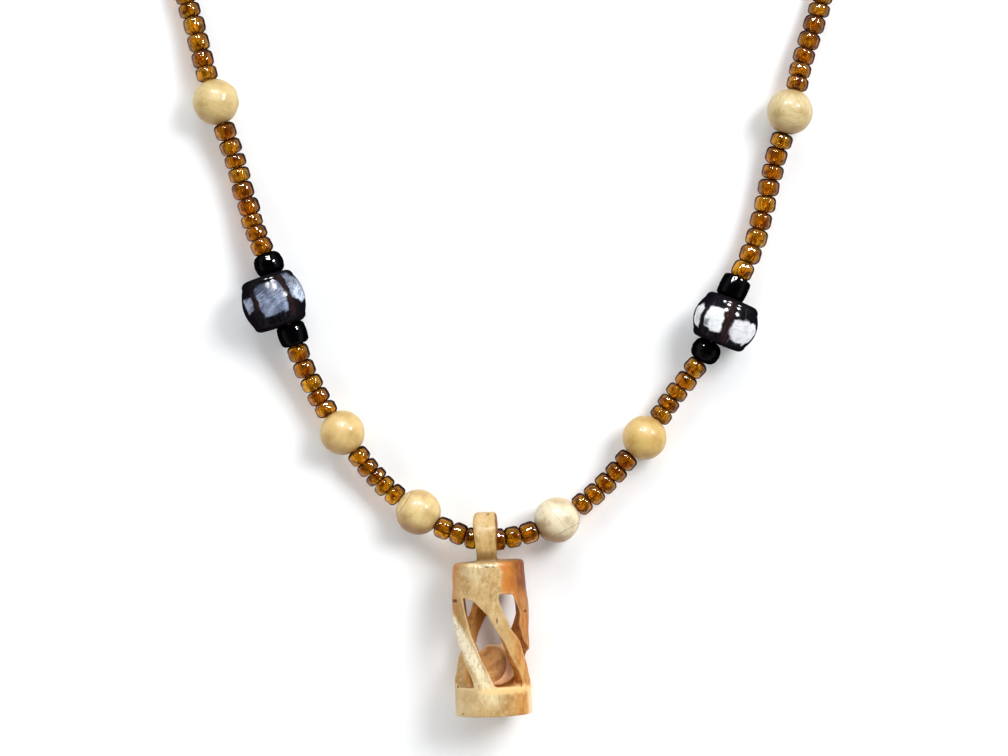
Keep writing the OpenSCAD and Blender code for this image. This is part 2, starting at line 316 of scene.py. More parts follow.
# The pieces on the string, by row of the route and length: their holes carry the thread straight through
CLASP = (0, 0.012)
IVORY = {1: (14, 0.0084), 2: (23, 0.0081), 3: (26, 0.0082), 4: (30, 0.0083), 5: (33, 0.008), 6: (42, 0.0083)}
ROUND_SHARE = 0.95
BLACK = {1: (18, 0.0013), 2: (20, 0.0008), 3: (36, 0.0015), 4: (38, 0.0005)}
BLACK_LENGTH = 0.0039
BANDED = {1: (19, 0.0115, 0.0094, 0.00135), 2: (37, 0.0118, 0.0084, 0.001)}
stops = {0: CLASP[1]}
stops.update({row: d * ROUND_SHARE for row, d in IVORY.values()})
stops.update({row: BLACK_LENGTH for row, _ in BLACK.values()})
stops.update({row: length for row, _, length, _ in BANDED.values()})
# The thread is straight inside a piece, free to bend a little past its ends, and open inside the clasp
PAST_END = 0.0006
OPEN_HALF = 0.0007
thread_stations = [OPEN_HALF]
for k in range(1, 2 * len(ROUTE)):
    s = reached[k * STEPS // 2]
    held = []
    for row, length in stops.items():
        straight = length / 2 + PAST_END
        if abs(s - station(row)) < straight or (row == 0 and s > loop_length - straight):
            held.append(row)
    if not held or held[0] == 0:
        thread_stations.append(s)
for row, length in stops.items():
    if row:
        thread_stations += [station(row) - length / 2, station(row) + length / 2]
last_station = loop_length - OPEN_HALF
thread_stations = sorted(s for s in thread_stations if 0 < s < last_station) + [last_station]

cord = Growth("thread", Diameter=0.00066, Pitch=0.0014, Steps=7)
curve = cord.node("MeshToCurve", {}, [cord.given("Geometry")])
curve = cord.node("ResampleCurve", {"mode": "LENGTH"}, {
    "Curve": curve, "Length": cord.given("Pitch") / cord.given("Steps"),
})
reach = cord.node("SplineParameter", output="Length")
curve = cord.node("SetCurveTilt", {}, {"Curve": curve, "Tilt": reach * (2 * math.pi) / cord.given("Pitch")})
ring = cord.node("CurvePrimitiveCircle", {}, {"Resolution": 8, "Radius": cord.given("Diameter") / 2})
ring = cord.node("Transform", {}, {"Geometry": ring, "Scale": (1, 0.62, 1)})
piece = cord.node("CurveToMesh", {}, {"Curve": curve, "Profile Curve": ring, "Fill Caps": True})

thread_look = Finish("beading thread", Roughness=0.8, Sheen_Weight=0.3, Sheen_Roughness=0.5)
fibre = thread_look.noise(9, 3)
tone = thread_look.noise(0.4, 2)
worn = (fibre * 0.6 + tone * 0.6).rise(0.4, 0.8)
thread_look.colour = thread_look.mix(worn, (120, 84, 48), (190, 158, 112))
thread_look.wear(0.7 + 0.2 * fibre, fibre, 0.00004)
links = [(k, k + 1) for k in range(len(thread_stations) - 1)]
route = made_of("thread_cord", [string_at(s) for s in thread_stations], links)
thread = cord.grow(route, piece, thread_look.material)
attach(thread, "necklace")
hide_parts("thread")


# Seed beads. Small rings of pressed amber-brown glass with rounded edges, no two of one length, are
# strung between the larger beads. The stretches that the picture shows have their lengths listed.
SEED_D = 0.00396
# The room between a run and the larger piece beside it, and between two beads of a run
SEED_GAP = 0.00022
BEAD_GAP = 0.00002
# Lengths of the beads in the hidden stretch, and the room at its end that is shared out among them
SHORTEST, LONGEST, LEFT_OVER = 0.0026, 0.0033, 0.0015
dice = np.random.default_rng(7)
RUNS = [
    (0, 14, [2.6, 3.2, 3.3, 3.1, 2.6]),
    (14, 18, [3.1, 2.9, 2.5, 2.7, 3.2, 3.1, 2.3, 2.5, 2.9]),
    (20, 23, [3.1, 3.1, 2.8, 2.7, 2.6]),
    (23, 26, [2.8, 2.5, 2.2, 2.4, 2.7]),
    (26, 30, [3.0, 2.8, 2.2, 2.5, 2.4, 2.8, 3.2]),
    (30, 33, [2.8, 2.8, 2.8, 2.7, 2.8]),
    (33, 36, [2.6, 2.7, 2.7, 2.9, 3.4]),
    (38, 42, [3.2, 3.2, 3.2, 3.1, 3.0, 3.0, 2.7, 3.1, 2.7]),
    (42, 56, [2.5, 2.6, 2.9, 3.1, 3.1, 2.4]),
]
seeds = []
for first, last, seen in RUNS:
    start = station(first) + stops[first] / 2 + SEED_GAP / 2
    stop = (loop_length if last == 56 else station(last)) - stops[last % 56] / 2 - SEED_GAP / 2
    lengths = [value / 1000 for value in seen]
    if first == 0 or last == 56:
        hidden = []
        while sum(lengths) + sum(hidden) < stop - start - LEFT_OVER:
            hidden.append(dice.uniform(SHORTEST, LONGEST))
        lengths = hidden + lengths if first == 0 else lengths + hidden
    lengths = np.array(lengths) * (stop - start) / sum(lengths)
    for end, length in zip(np.cumsum(lengths), lengths):
        s = start + end - length / 2
        ahead = string_heading(s, 0.001)
        side = ahead.cross(Vector((0, 0, 1))).normalized()
        middle = string_at(s) + side * dice.normal(0, 0.00006)
        ahead = (ahead + side * dice.normal(0, 0.05) + Vector((0, 0, dice.normal(0, 0.04)))).normalized()
        radius = SEED_D / 2 * dice.uniform(0.985, 1.0)
        seeds.append((middle, ahead, (radius, radius, (length - BEAD_GAP) / 2), dice.uniform(0, 1)))

points = made_of("seed_beads", [seed[0] for seed in seeds])
for name, kind, column in (("ahead", "FLOAT_VECTOR", 1), ("size", "FLOAT_VECTOR", 2), ("shade", "FLOAT", 3)):
    layer = points.data.attributes.new(name, kind, "POINT")
    values = np.array([tuple(seed[column]) if column < 3 else seed[column] for seed in seeds], float).ravel()
    layer.data.foreach_set("vector" if column < 3 else "value", values)

strung = Growth("seed beads", Sides=16, Hole=0.3, Edge=0.6)
hole = strung.given("Hole")
circle = strung.node("CurvePrimitiveCircle", {}, {
    "Resolution": strung.given("Sides"), "Radius": (1 + hole) / 2,
})
section = strung.node("CurvePrimitiveQuadrilateral", {}, {"Width": 1 - hole, "Height": 2.0})
across = strung.node("ShaderNodeSeparateXYZ", {}, [strung.node("InputPosition")])
outer = strung.node("ShaderNodeMath", {"operation": "GREATER_THAN"}, [across, 0.0])
rounding = 0.1 + (strung.given("Edge") - 0.1) * outer
section = strung.node("FilletCurve", {"mode": "POLY"}, {
    "Curve": section, "Count": 1 + 3 * outer, "Radius": rounding, "Limit Radius": False,
})
bead = strung.node("CurveToMesh", {}, {"Curve": circle, "Profile Curve": section})
facing = strung.node("InputNamedAttribute", {"data_type": "FLOAT_VECTOR"}, {"Name": "ahead"})
size = strung.node("InputNamedAttribute", {"data_type": "FLOAT_VECTOR"}, {"Name": "size"})
turned = strung.node("FunctionNodeAlignRotationToVector", {"axis": "Z"}, {"Vector": facing})
piece = strung.node("InstanceOnPoints", {}, {
    "Points": strung.given("Geometry"), "Instance": bead, "Rotation": turned, "Scale": size,
})

amber = Finish("amber glass", Transmission_Weight=0.78, IOR=1.5)
cloud = amber.noise(0.8, 3)
toward_outline = amber.glancing()
upper = amber.along((0.45, 0.89, 0), amber.node("NewGeometry", output="Normal"))
amber.colour = amber.mix(amber.stored("shade"), (200, 120, 4), (236, 170, 24))
amber.paint(0.9 * cloud.rise(0.46, 0.6), (98, 42, 2))
# Painted shade: each bead is darker on its side that faces +y and a little +x.
amber.paint(0.6 * (upper + 0.5 * (cloud - 0.5)).rise(0.1, 0.8), (98, 46, 10))
# Painted shade: the glass darkens towards its outline.
amber.paint(0.7 * (toward_outline + 0.2 * (cloud - 0.5)).rise(0.34, 0.74), (108, 46, 8))
amber.wear(0.03 + 0.05 * cloud.rise(0.5, 0.8), amber.noise(1.0, 2), 0.00012)
# Painted shade: a dark matt shader covers the outline, reaching further on the side that faces +y.
rim = (toward_outline + 0.12 * (cloud - 0.5) + 0.18 * upper).rise(0.4, 0.64)
amber.paint_shade_over(0.94 * rim, (34, 16, 10))
seed_beads = strung.grow(points, piece, amber.material)
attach(seed_beads, "necklace")
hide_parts(*(f"seed_run_{k}" for k in range(1, 10)))


# Round ivory beads. Six beads were turned from tusk, drilled and cut flat at both ends. Their rings
# and cracks show how each was cut from the tusk, and no two have quite the same colour.
def turn(outline, sides, centre=(0, 0), low=None):
    """Turns a closed outline of (radius, height) round centre, but its points from low on round the bore."""
    angle = np.arange(sides) * 2 * math.pi / sides
    points = []
    for k, (radius, height) in enumerate(outline):
        x, y = centre if low is None or k < low else (0, 0)
        points += [(x + radius * math.cos(a), y + radius * math.sin(a), height) for a in angle]
    count = len(outline)
    faces = []
    for k in range(count):
        below, above = k * sides, (k + 1) % count * sides
        for j in range(sides):
            beside = (j + 1) % sides
            faces.append((below + j, below + beside, above + beside, above + j))
    return np.array(points), faces


def smooth(piece, finish):
    piece.data.materials.append(finish.material)
    piece.data.polygons.foreach_set("use_smooth", [True] * len(piece.data.polygons))
    return piece


def lumps(points, size, depth, seed):
    """A hand-made piece's slight waves: a few sums of sines, as a share of each point's way out."""
    rng = np.random.default_rng(seed)
    total = np.zeros(len(points))
    for _ in range(7):
        way = rng.normal(size=3)
        way *= 2 * math.pi / (size * np.linalg.norm(way) * rng.uniform(0.7, 1.6))
        total += np.sin(points @ way + rng.uniform(0, 6.3))
    return depth * total / 3


BORE = 0.0008
ROUND_LOOKS = {
    # pale, deep and ring colours, way across the rings, width of a ring, how much painted shade darkens its
    # lower left side
    1: ((214, 191, 132), (192, 164, 106), (180, 138, 78), (0.35, 0.9, 0.2), 0.9, 0.55),
    2: ((221, 191, 127), (198, 164, 98), (190, 146, 82), (0.8, -0.55, 0.2), 1.4, 0.6),
    3: ((225, 200, 142), (198, 166, 106), (170, 128, 78), (0.83, -0.55, 0.1), 1.9, 0.95),
    4: ((236, 224, 192), (200, 180, 140), (160, 132, 96), (0.72, 0.66, 0.25), 1.6, 0.85),
    5: ((214, 182, 110), (194, 154, 82), (206, 176, 124), (0.6, 0.8, 0.1), 1.5, 0.45),
    6: ((210, 191, 142), (184, 158, 106), (164, 132, 84), (0.1, 0.2, 1.0), 0.5, 0.45),
}
CRACKS = {3: (0.83, -0.55, 0, -2.9), 4: (-0.483, 0.876, 0, -2.3)}
for k, (row, d) in IVORY.items():
    r = d / 2
    half = d * ROUND_SHARE / 2
    place = seat(row, 2 * half)
    rim = math.asin(half / r)
    arc = [(r * math.cos(a), r * math.sin(a)) for a in np.linspace(rim - 0.06, -rim + 0.06, 33)]
    flat = r * math.cos(rim)
    mouth = [
        (BORE, half - 0.0004), (BORE + 0.00005, half - 0.00012), (BORE + 0.0002, half), (flat * 0.8, half),
    ]
    outline = mouth + arc + [(x, -z) for x, z in mouth[::-1]]
    points, faces = turn(outline[::-1], 64)
    out = np.linalg.norm(points[:, :2], axis=1)
    bumps = lumps(points, 0.005, 0.00005 if k > 1 else 0.00009, 20 + k)
    points *= 1 - np.abs(bumps[:, None]) / r * (out[:, None] > BORE + 0.0003)
    pale, deep, ringed, way, width, low_side_shade = ROUND_LOOKS[k]
    ivory = Finish(
        f"bead ivory {k}", place=tuple(place.translation), Subsurface_Weight=0.12,
        Subsurface_Radius=(1.0, 0.7, 0.4), Subsurface_Scale=0.0012, Specular_IOR_Level=0.3,
        Coat_Weight=0.2, Coat_Roughness=0.12,
    )
    waves = ivory.noise(0.35, 2)
    across = ivory.along(Vector(way).normalized())
    rings = ivory.node("Math", {"operation": "SINE"}, [(across + 1.6 * waves) * (2 * math.pi / width)])
    grain = ivory.noise(2.2, 4, 0.6, at=ivory.at * (2, 2, 0.8))
    ivory.colour = ivory.mix((waves + 0.35 * (grain - 0.5)).rise(0.35, 0.7), pale, deep)
    ring_strength = 0.4 if k == 6 else 0.18
    ivory.paint(ring_strength * (rings + 2.4 * (grain - 0.5)).rise(0.2, 1.4), ringed)
    specks = ivory.dots(1.5, 0.1, 0.2) * ivory.noise(1.1, 1).rise(0.55, 0.7)
    ivory.paint(0.55 * specks, (120, 84, 46))
    if k in CRACKS:
        *across, off = CRACKS[k]
        crack = ivory.along(Vector(across))
        crack = abs(crack - off + 0.5 * (waves - 0.5)).rise(0.16, 0.02) * ivory.z.rise(0, 1)
        ivory.paint(0.6 * crack * grain.rise(0.3, 0.55), (120, 92, 66))
    # Painted shade: each bead's lower left side is darkened to tan.
    low = ivory.along(Vector((-0.42, -0.9, -0.1)))
    ivory.paint(low_side_shade * (low + 0.8 * (waves - 0.5)).rise(r * 60, r * 860), (146, 100, 48))
    end = abs(ivory.along(place.to_3x3() @ Vector((0, 0, 1))))
    stained = end.rise(r * 760, r * 1000)
    ivory.paint(0.55 * stained, (168, 124, 72))
    ivory.wear(0.28 + 0.2 * grain + 0.15 * stained, 0.7 * grain + 0.35 * waves - specks, 0.00008)
    bead = smooth(made_of(f"ivory_round_{k}", points, (), faces), ivory)
    bead.data.transform(place)
    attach(bead, "necklace")
    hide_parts(f"ivory_bead_{k}")


# Black spacer beads. Four short drums of black glass sit one on each side of the banded stones. Each
# was pressed in a mould, and its edges are rounded by more or less fire polish.
EDGE_TURNS = np.arange(0, 90, 11.25)


def drum(length, r_end, r_mid, edge, bore):
    """A drum's closed outline: its rounded edges, its wall that swells in the middle, and its bore."""
    half = length / 2
    round_edge = [
        (r_end - edge + edge * math.sin(a), half - edge + edge * math.cos(a)) for a in np.radians(EDGE_TURNS)
    ]
    wall = [(r_end + (r_mid - r_end) * (1 - t * t), t * (half - edge)) for t in np.linspace(-1, 1, 13)]
    outline = [(bore + 0.00012, -half)] + [(x, -z) for x, z in round_edge] + wall + round_edge[::-1]
    return outline + [(bore + 0.00012, half), (bore, half - 0.00015), (bore, -half + 0.00015)]


BLACK_D = 0.0054
jet = Finish("black glass", Specular_IOR_Level=0.6)
# Painted shade: a dark matt shader covers each bead's outline.
jet.paint_shade_over(jet.glancing().rise(0.1, 0.32), (5, 5, 7))
dust = jet.noise(1.6, 4, 0.6)
scratch = jet.noise(1.3, 3, at=jet.at * (0.6, 3, 3))
jet.colour = jet.mix(dust.rise(0.55, 0.9), (2, 2, 4), (12, 12, 14))
jet.wear(0.05 + 0.06 * scratch.rise(0.45, 0.8), 0.4 * scratch + 0.2 * dust, 0.00003)
for k, (row, edge) in BLACK.items():
    points, faces = turn(drum(BLACK_LENGTH, BLACK_D / 2 - 0.0001, BLACK_D / 2, edge, BORE), 56)
    bumps = lumps(points, 0.004, 0.00004, 40 + k)
    points[:, :2] *= (1 - np.abs(bumps) / (BLACK_D / 2))[:, None]
    bead = smooth(made_of(f"black_spacer_{k}", points, (), faces), jet)
    bead.data.transform(seat(row, BLACK_LENGTH))
    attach(bead, "necklace")
    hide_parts(f"black_bead_{k}")


# Banded stone beads. Two barrels of polished dark stone have pale patches and brown stripes that run
# along the bead. Each was drilled off its middle, so it hangs outside the string.
STONE_BORE = 0.0011
STREAKS = {1: 0.2, 2: 0.75}
PATCHES = {
    # corners as lengths round the bead and along it, then two colours and how dark its specks are
    1: [
        ([(-2.9, 3.0), (-1, 3.5), (2.2, 3.3), (2.7, 0.9), (2.5, -2.4), (-2.2, -2.4), (-2.5, 0)],
         (150, 162, 186), (96, 106, 130), 0.5),
        ([(-6.7, 1.8), (-3.9, 1.7), (-3.8, -0.7), (-5.7, -1.2)], (150, 158, 180), (90, 98, 122), 0.9),
        ([(3.9, 4.1), (5.6, 4.0), (8.3, 2.2), (8.4, -1.2), (5.8, -1.6), (4.2, -0.4), (3.9, 1.9)],
         (202, 212, 230), (112, 130, 158), 0.7),
        ([(11.5, 3), (15.5, 2.6), (15.8, -2.4), (12, -3)], (160, 168, 186), (100, 106, 128), 0.5),
        ([(-14.5, 2.2), (-10.5, 2.8), (-9.8, -2.2), (-14, -2.6)], (150, 160, 180), (96, 104, 126), 0.5),
    ],
    2: [
        ([(-4.4, -0.6), (-4.2, 1.4), (-2.9, 1.8), (-1.2, 1.5), (-0.7, 0.4), (-0.5, -2.2), (-2.5, -2.6),
          (-4.0, -2.0)], (246, 248, 250), (226, 232, 236), 0.6),
        ([(1.0, -0.8), (1.3, 0.7), (3.2, 1.4), (6.5, 1.4), (7.9, 0), (6.0, -2.9), (3.0, -2.9), (1.5, -2.2)],
         (232, 232, 236), (206, 206, 214), 0.8),
        ([(-7.9, 0.7), (-6.3, 1.6), (-5.3, 0.8), (-5.5, -1.6), (-6.0, -2.8), (-8, -2.4)],
         (220, 222, 226), (190, 190, 198), 0.4),
        ([(10.6, 2.4), (14.2, 2.0), (14.6, -2.2), (11, -2.6)], (222, 222, 226), (196, 196, 204), 0.6),
        ([(-15.4, 2.0), (-11.6, 2.5), (-11, -2.4), (-15, -2.2)], (226, 228, 230), (200, 202, 208), 0.6),
    ],
}
STRIPES = {
    1: [
        ([(-3.75, 2.6), (-3.25, 2.6), (-2.5, -0.8), (-2.9, -0.8)], (58, 24, 16)),
        ([(2.6, 4.6), (3.8, 4.6), (3.9, 0.7), (4.4, -3.6), (3.1, -3.6), (2.5, 0.7)], (46, 28, 28)),
        ([(-9, 4.6), (-7.8, 4.6), (-7.4, -4.6), (-8.8, -4.6)], (74, 46, 42)),
        ([(9.2, 4.6), (10.2, 4.6), (10.6, -4.6), (9.4, -4.6)], (84, 52, 44)),
    ],
    2: [
        ([(-1.2, 4.2), (0.3, 4.2), (1.0, 0), (1.6, -4.2), (0.1, -4.2), (-0.5, 0)], (48, 30, 28)),
        ([(8.3, 4.2), (9.6, 4.2), (9.9, -4.2), (8.6, -4.2)], (80, 56, 48)),
        ([(-10.4, 4.2), (-9.2, 4.2), (-8.8, -4.2), (-10, -4.2)], (74, 50, 44)),
    ],
}
for k, (row, d, length, shift) in BANDED.items():
    place = seat(row, length)
    lift = d / 2 - place.translation.z
    outline = drum(length, d / 2 - 0.0009, d / 2, 0.0012, STONE_BORE)
    hollow = [(0.0021, -length / 2), (0.0019, -length / 2 + 0.0003), (STONE_BORE, -length / 2 + 0.0004)]
    outline = outline[1:-3] + [(x, -z) for x, z in hollow] + hollow[::-1]
    points, faces = turn(outline, 80, (-lift, -shift), len(outline) - 6)
    bumps = lumps(points, 0.007, 0.00006, 60 + k)
    points[:, :2] *= (1 - np.abs(bumps) / (d / 2))[:, None]
    axis = place.to_3x3() @ Vector((0, 0, 1))
    heading = math.atan2(axis.y, axis.x) + (math.pi if axis.y < 0 else 0) - math.pi / 2
    middle = place @ Vector((-lift, -shift, 0))
    stone = Finish(f"banded stone {k}", place=tuple(middle), turn=(0, 0, heading), Specular_IOR_Level=0.2)
    # Round the bead as a length of its girth, and along it, both in millimetres
    girth = stone.node("Math", {"operation": "ARCTAN2"}, [stone.x, stone.z]) * (d * 500)
    grit = stone.noise(1.6, 4, 0.6)
    wander = stone.noise(0.6, 3)
    u = girth + 1.3 * (wander - 0.5) + 0.4 * (grit - 0.5)
    v = stone.y + 1.3 * (stone.noise(0.6, 3, at=stone.at + 7) - 0.5) + 0.4 * (grit - 0.5)
    dark = stone.mix((grit + 0.3 * wander).rise(0.5, 0.9), (9, 9, 12), (30, 26, 32))
    slanting = stone.node("CombineXYZ", {}, [girth * 0.35 + v * 0.3, v * 2.2 - girth * 0.9, 0.0])
    brushed = stone.noise(1.0, 4, at=slanting)
    lines = stone.noise(1.0, 3, at=stone.node("CombineXYZ", {}, [girth * 1.6, v * 0.25, 0.0]))
    stone.colour = stone.mix(lines.rise(0.56, 0.7) * STREAKS[k], dark, (92, 100, 116))
    pale = None
    for corners, hue, under, specks in PATCHES[k]:
        patch = stone.patch(u, v, corners)
        cloudy = (0.6 * brushed + 0.6 * wander + 0.3 * (grit - 0.5)).rise(0.5, 0.74)
        mottled = stone.mix(cloudy, hue, under)
        if k == 1:
            mottled = stone.mix(0.75 * (v + 2.4 * (brushed - 0.5)).rise(0.6, 2.6), mottled, (46, 54, 74))
        dots = stone.dots(1.7, 0.1, 0.19) * specks
        stone.paint(patch, stone.mix(dots, mottled, (30, 28, 34)))
        pale = patch if pale is None else pale | patch
    for corners, hue in STRIPES[k]:
        stripe = stone.patch(u, v, corners) * (0.5 + 0.5 * grit.rise(0.36, 0.56))
        stone.paint(0.9 * stripe, hue)
    ends = (abs(stone.y) + 0.5 * (grit - 0.5)).rise(length * 400, length * 480)
    stone.paint(0.8 * ends, (22, 17, 22))
    pits = stone.dots(0.7, 0.05, 0.12)
    if k == 2:
        pits = pits | stone.patch(u, v, [(-4.1, -1.2), (-3.1, -0.7), (-3.2, -1.9), (-4.1, -2.0)])
    stone.paint(0.7 * pits, (14, 12, 14))
    # Painted shade: a dark matt shader covers the outline of the dark stone, though not of its pale patches.
    rim = stone.glancing().rise(0.14, 0.4)
    stone.paint_shade_over(rim * (1 - pale), (18, 15, 20))
    stone.wear(0.08 + 0.06 * grit + 0.12 * pale, 0.1 * grit - pits + 0.3 * pale, 0.00004)
    bead = smooth(made_of(f"banded_barrel_{k}", points, (), faces), stone)
    bead.data.transform(place)
    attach(bead, "necklace")
    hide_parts(f"banded_bead_{k}")


# Clasp. A plain barrel of satin metal closes the necklace at the back of the neck: two halves screw
# together at its middle, and a thread end is knotted inside each.
clasp_outline = [
    (0.0008, -0.0058), (0.00115, -0.006), (0.0016, -0.0059), (0.002, -0.0055), (0.0022, -0.0049),
    (0.00225, -0.0042), (0.00228, -0.0036), (0.00216, -0.00345), (0.00216, -0.0033), (0.0023, -0.00315),
    (0.0023, -0.0006), (0.00212, -0.0004), (0.00212, -0.0001),
]
clasp_outline += [(0.0023, 0.0001), (0.0023, 0.00315)] + [(r, -z) for r, z in clasp_outline[8::-1]]
points, faces = turn(clasp_outline, 60)
satin = Finish("satin metal", Metallic=1.0, Anisotropic=0.3)
brushed = satin.noise(2.0, 4, at=satin.at * (0.4, 5, 5))
tarnish = satin.noise(0.5, 3)
satin.colour = satin.mix(tarnish.rise(0.5, 0.75), (212, 210, 204), (150, 144, 132))
satin.wear(0.22 + 0.25 * brushed + 0.2 * tarnish.rise(0.5, 0.8), brushed, 0.00002)
clasp = smooth(made_of("barrel_clasp", points, (), faces), satin)
clasp.data.transform(seat(*CLASP))
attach(clasp, "necklace")
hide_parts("clasp")


# Carved cage. One piece of ivory was turned, hollowed, and pierced by four slanting windows, which
# leave four spiral bars. The bail that the string goes through is cut from the same piece.
# It is worked out as a field of distances, in millimetres from its foot: x right, y back, z along it
FOOT = (-1.75, -115.8, 6.92)
LEAN = math.radians(2.3)
CAGE_R = 6.85
CAGE_H = 27.5
# Radius, floor and ceiling of the cavity, and the radius where the windows' sides stop leaning in
CAVITY = (4.85, 4.9, 22.0)
LEAN_STOPS = 4.35
SILL = 5.2
# Radius of the bail's eye and of its arch, height of the eye, half the bail's width, and its place across
BAIL = (3.0, 4.7, 31.6, 2.2, -0.22)
# Where the bail starts in the collar, and how much of its width it has at heights above the body
BAIL_FOOT = 26.8
BAIL_Z = [0, 1.2, 3.6, 5.6, 6.8, 7.8, 8.5, 9.2]
BAIL_SHARE = [0.82, 0.82, 0.88, 0.96, 1, 0.97, 0.9, 0.78]
# The wall's radius at heights above the foot
WALL_Z = [0, 4.95, 11, 14.6, 18.2, 22.3, 25.9, 27.5]
WALL_R = [6.85, 6.87, 6.75, 6.78, 6.92, 6.67, 6.43, 6.28]
# A window's top, its two sides as heights and degrees from the front, and by how many degrees each side
# leans in below the skin
WINDOWS = [
    (21.3, [5.2, 7.2, 11.4, 15, 18.5, 21.3], [5, -4, -19.5, -31.5, -39, -45],
     [5.2, 6.8, 9.5, 12.4, 16.9, 18.2, 19.4, 20.6, 21.3],
     [55.5, 49.5, 37, 23, 1.1, -4, -14, -25, -40], 24, 8),
    (21.7, [5.2, 6, 7.8, 9.6, 11.8, 13.1, 14.2, 15.4, 16.7, 18, 20.4, 21.7],
     [80, 77, 71.6, 66, 56, 50, 44, 35, 28.7, 21, 15.5, 14],
     [5.2, 9, 11, 12, 13, 14, 16, 18, 20, 21.7], [126, 122, 104, 78, 62, 55, 48, 50, 43, 36], 2, 30),
    (21.2, [5.2, 12.5, 20, 21.2], [184, 155, 96, 90],
     [5.2, 12.5, 16.2, 20, 21.2], [227, 215, 198, 172, 165], 2, 0),
    (21.2, [5.2, 6.2, 7.8, 11.4, 16.2, 20, 21.2], [296, 276, 258, 238, 222, 205, 200],
     [5.2, 7.2, 8.4, 11.3, 13.1, 15, 20, 21.2], [331.2, 324.6, 320.3, 306.5, 299.4, 293, 274, 270], 2, 0),
]


def rounded_max(a, b, k):
    """The larger of two distances, with the edge between them rounded."""
    ease = np.maximum(k - np.abs(a - b), 0) / k
    return np.maximum(a, b) + ease * ease * k / 4


def hand_wave(x, y, z):
    return 0.05 * (np.sin(0.9 * z + 1.3 * x) + np.sin(1.1 * y - 0.7 * z + 2) + np.sin(0.6 * x + 1.7 * z + 1))


def window_distance(x, y, z):
    """How far a point is from the nearest window's cut, and below nought inside it."""
    r = np.hypot(x, y)
    turn_at = np.degrees(np.arctan2(x, -y))
    nearest = np.full(np.shape(r), 9.0)
    for top, from_z, from_turn, to_z, to_turn, under, steep in WINDOWS:
        left = np.interp(z, from_z, from_turn)
        right = np.interp(z, to_z, to_turn)
        share = np.clip((z - SILL) / (top - SILL), 0, 1)
        inward = share * np.clip((CAGE_R - r) / (CAGE_R - LEAN_STOPS), 0, 1)
        left = left - under * inward
        right = right + steep * inward
        off = (turn_at - (left + right) / 2 + 180) % 360 - 180
        from_slope = np.interp(z, from_z[:-1], np.diff(from_turn) / np.diff(from_z))
        to_slope = np.interp(z, to_z[:-1], np.diff(to_turn) / np.diff(to_z))
        slope = np.where(off < 0, from_slope, to_slope)
        lie = 1 / np.sqrt(1 + (np.radians(slope) * r) ** 2)
        side = np.radians(np.abs(off) - (right - left) / 2) * r * lie + hand_wave(x, y, z)
        level = np.abs(z - (SILL + top) / 2) - (top - SILL) / 2
        nearest = np.minimum(nearest, rounded_max(side, level, 0.6))
    return nearest


def cage_field(x, y, z):
    """The carved body's distance field: below nought in the ivory and above it in the air."""
    r = np.hypot(x, y)
    wave = hand_wave(x, y, z)
    body = r - np.interp(z, WALL_Z, WALL_R) - 0.6 * wave
    body = rounded_max(body, z - CAGE_H - 0.03 * x, 0.9)
    body = rounded_max(body, -z, 0.35)
    middle = (CAVITY[1] + CAVITY[2]) / 2
    hollow = rounded_max(r - CAVITY[0], np.abs(z - middle) - (CAVITY[2] - CAVITY[1]) / 2, 0.8)
    field = rounded_max(body, -hollow, 0.2)
    field = rounded_max(field, -window_distance(x, y, z), 0.28)
    eye, outer, eye_z, half_w, shift = BAIL
    width = half_w * np.interp(z - CAGE_H, BAIL_Z, BAIL_SHARE)
    up = np.maximum(z - eye_z, 0)
    arch = rounded_max(np.hypot(y, up) - outer, eye - np.hypot(y, z - eye_z), 0.3)
    arch = rounded_max(arch, np.abs(x - shift) - width - 0.5 * wave, 0.7)
    arch = rounded_max(arch, BAIL_FOOT - z, 0.2)
    return -rounded_max(-field, -arch, 0.6)


def skin(field, low, high, step):
    """Wraps a mesh round the places where a field is below nought: one point a cell, one face an edge."""
    axes = [np.arange(a, b + step, step) for a, b in zip(low, high)]
    values = field(*np.meshgrid(*axes, indexing="ij"))
    inside = values < 0
    cells = tuple(n - 1 for n in values.shape)

    def corner(grid, at):
        return grid[tuple(slice(n, n + size) for n, size in zip(at, cells))]

    total = np.zeros((*cells, 3))
    count = np.zeros(cells)
    corners = [(i, j, k) for i in (0, 1) for j in (0, 1) for k in (0, 1)]
    for a in corners:
        for axis in range(3):
            if a[axis]:
                continue
            b = tuple(1 if n == axis else a[n] for n in range(3))
            va, vb = corner(values, a), corner(values, b)
            crossed = corner(inside, a) != corner(inside, b)
            share = np.where(crossed, va / np.where(crossed, va - vb, 1), 0)
            for n in range(3):
                total[..., n] += np.where(crossed, a[n] + (share if n == axis else 0), 0)
            count += crossed
    used = count > 0
    number = np.full(cells, -1)
    number[used] = np.arange(used.sum())
    points = (total[used] / count[used][:, None] + np.argwhere(used)) * step + np.array(low)
    faces = []
    for axis in range(3):
        u, v = (axis + 1) % 3, (axis + 2) % 3
        ahead = [slice(1, -1)] * 3
        ahead[axis] = slice(0, -1)
        here = inside[tuple(ahead)]
        ahead[axis] = slice(1, None)
        there = inside[tuple(ahead)]
        place = np.argwhere(here != there) + 1
        place[:, axis] -= 1
        outward = here[here != there]
        ring = []
        for du, dv in ((1, 1), (0, 1), (0, 0), (1, 0)):
            cell = place.copy()
            cell[:, u] -= du
            cell[:, v] -= dv
            ring.append(number[cell[:, 0], cell[:, 1], cell[:, 2]])
        quads = np.stack(ring, axis=1)
        faces.append(np.where(outward[:, None], quads, quads[:, ::-1]))
    return points, np.vstack(faces)


def store(piece, name, values):
    piece.data.attributes.new(name, "FLOAT", "POINT").data.foreach_set("value", values)


CELL = 0.17
points, faces = skin(cage_field, (-7.3, -7.3, -0.5), (7.3, 7.3, 36.8), CELL)
